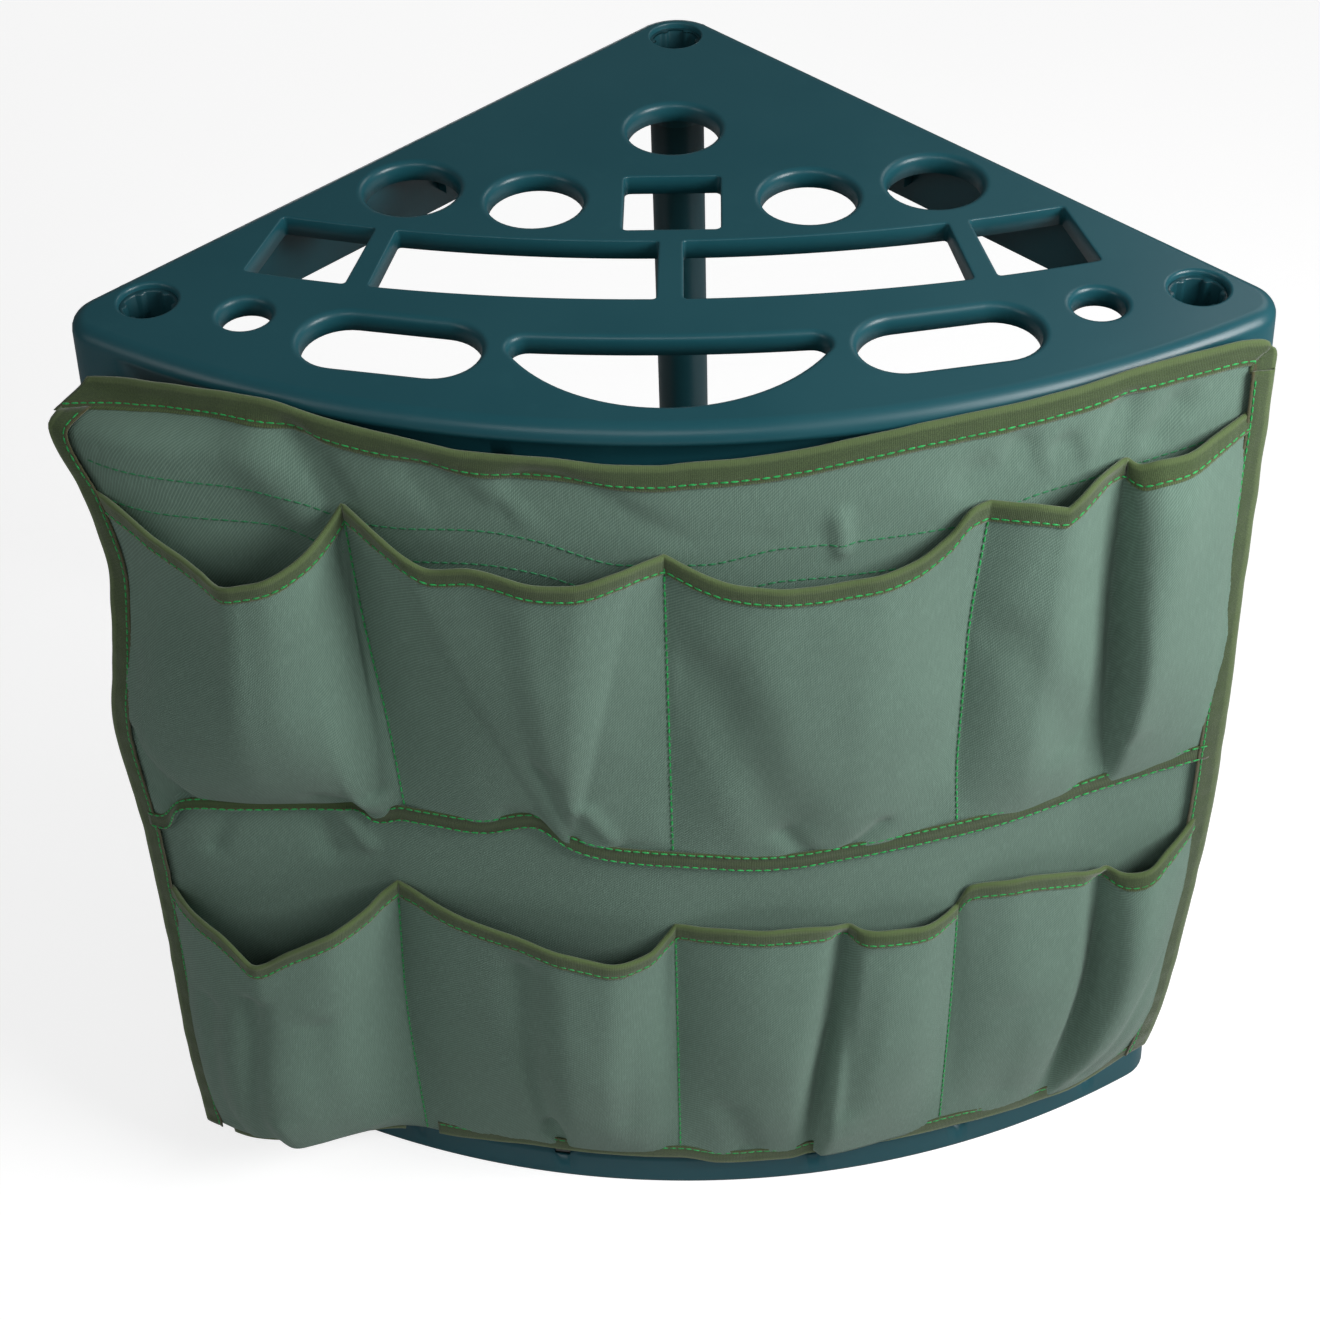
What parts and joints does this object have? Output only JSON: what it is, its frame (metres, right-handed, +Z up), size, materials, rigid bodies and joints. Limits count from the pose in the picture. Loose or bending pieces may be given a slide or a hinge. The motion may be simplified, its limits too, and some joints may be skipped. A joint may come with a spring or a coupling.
{
  "type": "freestanding corner garden tool rack",
  "caption": "Freestanding corner rack for long garden tools: slotted top tray, base tray, tube posts and a hung cloth with rows of pockets.",
  "frame": {"origin": "the middle of the whole rack's box in plan, on the floor", "axes": "+Z up, -Y towards the bowed front with the pockets, +Y towards the wall corner, +X to the right seen from the front"},
  "size_m": [0.6116, 0.4314, 0.6],
  "materials": {
    "tray_plastic": "satin moulded polypropylene, fine grain",
    "post_plastic": "satin extruded tube",
    "pocket_cloth": "coated woven polyester with a fine twill",
    "edge_tape": "woven olive binding tape with bright green stitching",
    "webbing": "woven tape",
    "strap_tab": "webbing tab with a moulded toggle"
  },
  "bodies": {
    "root": {"top_tray": "tray_plastic", "base_tray": "tray_plastic", "post_left": "post_plastic", "post_right": "post_plastic", "post_rear": "post_plastic", "cloth_back_panel": "pocket_cloth", "upper_pocket_strip": "pocket_cloth", "lower_pocket_strip": "pocket_cloth", "top_binding": "edge_tape", "bottom_binding": "edge_tape", "bottom_binding_left": "edge_tape", "left_binding": "edge_tape", "right_binding": "edge_tape", "upper_mouth_binding": "edge_tape", "lower_mouth_binding": "edge_tape", "middle_seam_tape": "edge_tape", "fastening_band": "webbing", "top_strap_tab_1": "strap_tab", "top_strap_tab_2": "strap_tab", "top_strap_tab_3": "strap_tab", "top_strap_tab_4": "strap_tab", "top_strap_tab_5": "strap_tab", "top_strap_tab_6": "strap_tab", "base_strap_tab_1": "strap_tab", "base_strap_tab_2": "strap_tab", "base_strap_tab_3": "strap_tab", "base_strap_tab_4": "strap_tab", "base_strap_tab_5": "strap_tab", "base_strap_tab_6": "strap_tab"}
  },
  "joints": []
}
